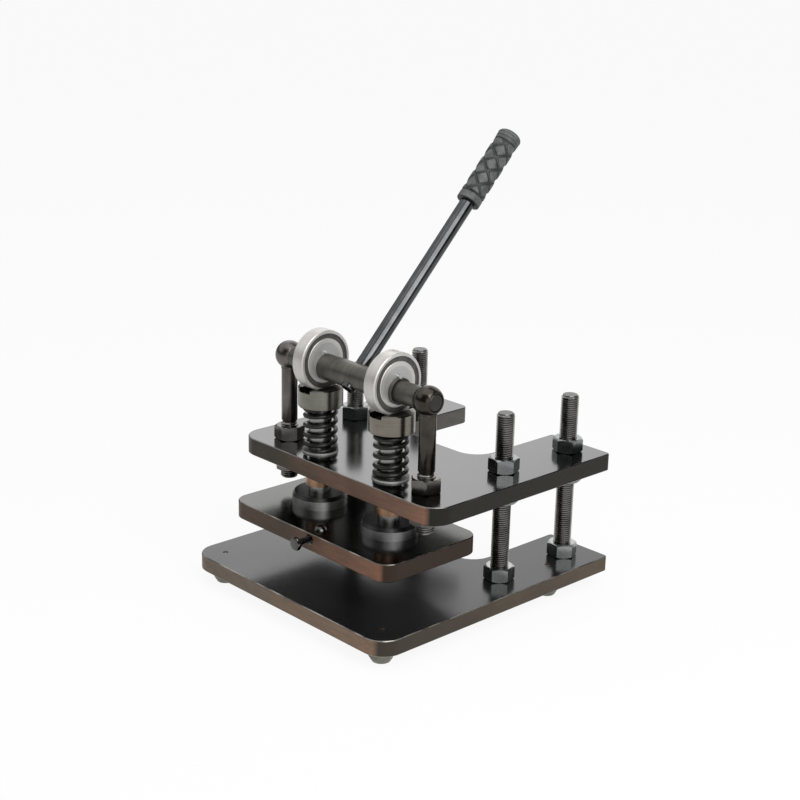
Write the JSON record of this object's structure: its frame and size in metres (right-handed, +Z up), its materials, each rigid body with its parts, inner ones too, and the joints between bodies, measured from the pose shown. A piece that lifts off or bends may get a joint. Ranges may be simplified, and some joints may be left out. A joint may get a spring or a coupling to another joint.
{
  "type": "manual die cutting press",
  "caption": "Lever-operated bench press for steel-rule dies: U-shaped plates on columns, with an eccentric shaft on ball bearings that pushes a sprung press plate down.",
  "frame": {"origin": "on the floor under the middle of the base plate", "axes": "+X along the eccentric shaft to the right, -Y towards the operator, +Z up; the lever leans to +Y at rest"},
  "size_m": [0.318, 0.353, 0.5068],
  "materials": {
    "black_plate": "gloss black, cut edges worn to a warm brown sheen",
    "black_steel": "blackened, oiled",
    "dark_steel": "turned, dark satin",
    "bright_steel": "ground, bright",
    "bearing_steel": "polished",
    "spring_steel": "oiled wire",
    "cage_steel": "pressed sheet",
    "bronze": "machined bronze",
    "zinc_steel": "zinc plated",
    "seal_rubber": "matt black",
    "grip_rubber": "black, pebbled"
  },
  "bodies": {
    "base": {"base_plate": "black_plate", "base_lock_nuts": "black_steel", "column_front_left": "black_steel", "column_front_right": "black_steel", "column_rear_left": "black_steel", "column_rear_right": "black_steel", "foot_front_left": "zinc_steel", "foot_front_right": "zinc_steel", "foot_rear_left": "zinc_steel", "foot_rear_right": "zinc_steel"},
    "upper_frame": {"top_plate": "black_plate", "upper_nuts": "black_steel", "under_nuts": "black_steel", "eye_bolt_top_nuts": "black_steel", "eye_bolt_under_nuts": "black_steel", "eye_bolt_left": "dark_steel", "bush_left": "bronze", "spring_washer_left": "bright_steel", "return_spring_left": "spring_steel", "eye_bolt_right": "dark_steel", "bush_right": "bronze", "spring_washer_right": "bright_steel", "return_spring_right": "spring_steel"},
    "press": {"press_plate": "black_plate", "die_stud_screw": "black_steel", "plunger_rod_left": "bright_steel", "plunger_flange_left": "black_steel", "plunger_cap_left": "dark_steel", "plunger_screw_left": "black_steel", "plunger_rod_right": "bright_steel", "plunger_flange_right": "black_steel", "plunger_cap_right": "dark_steel", "plunger_screw_right": "black_steel"},
    "camshaft": {"cam_shaft": "dark_steel", "lever_rod": "dark_steel", "lever_grip": "grip_rubber", "eccentric_hub_left": "bearing_steel", "hub_pin_left": "dark_steel", "shaft_collar_left": "dark_steel", "bearing_inner_ring_left": "bearing_steel", "eccentric_hub_right": "bearing_steel", "hub_pin_right": "dark_steel", "shaft_collar_right": "dark_steel", "bearing_inner_ring_right": "bearing_steel"},
    "roller_left": {"bearing_outer_ring_left": "bearing_steel", "bearing_seals_left": "seal_rubber"},
    "roller_right": {"bearing_outer_ring_right": "bearing_steel", "bearing_seals_right": "seal_rubber"},
    "cage_left": {"bearing_cage_left": "cage_steel", "bearing_balls_left": "bearing_steel"},
    "cage_right": {"bearing_cage_right": "cage_steel", "bearing_balls_right": "bearing_steel"},
    "clamp_screw": {"die_clamp_screw": "black_steel"}
  },
  "joints": [
    {"name": "frame_height", "type": "slide", "parent": "base", "child": "upper_frame", "axis": [0, 0, 1], "range_m": [-0.03, 0.045]},
    {"name": "cam_turn", "type": "hinge", "parent": "upper_frame", "child": "camshaft", "pos_m": [0, -0.0735, 0.259], "axis": [1, 0, 0], "range_deg": [0, 133.5]},
    {"name": "press_drop", "type": "slide", "parent": "upper_frame", "child": "press", "axis": [0, 0, -1], "range_m": [0, 0.011], "stiffness_N_per_m": 49000, "springref_m": -0.006, "deforming": ["return_spring_left", "return_spring_right"]},
    {"name": "roller_left_spin", "type": "hinge", "parent": "camshaft", "child": "roller_left", "pos_m": [-0.0575, -0.0735, 0.2655], "axis": [1, 0, 0], "continuous": true},
    {"name": "roller_right_spin", "type": "hinge", "parent": "camshaft", "child": "roller_right", "pos_m": [0.0575, -0.0735, 0.2655], "axis": [1, 0, 0], "continuous": true},
    {"name": "cage_left_spin", "type": "hinge", "parent": "camshaft", "child": "cage_left", "pos_m": [-0.0575, -0.0735, 0.2655], "axis": [1, 0, 0], "continuous": true},
    {"name": "cage_right_spin", "type": "hinge", "parent": "camshaft", "child": "cage_right", "pos_m": [0.0575, -0.0735, 0.2655], "axis": [1, 0, 0], "continuous": true},
    {"name": "clamp_screw_in", "type": "slide", "parent": "press", "child": "clamp_screw", "axis": [0, 1, 0], "range_m": [0, 0.005]}
  ],
  "couplings": [
    {"joint": "press_drop", "follows": "cam_turn", "m_per_rad": 0.00471},
    {"joint": "cage_left_spin", "follows": "roller_left_spin", "ratio": 0.573},
    {"joint": "cage_right_spin", "follows": "roller_right_spin", "ratio": 0.573}
  ]
}
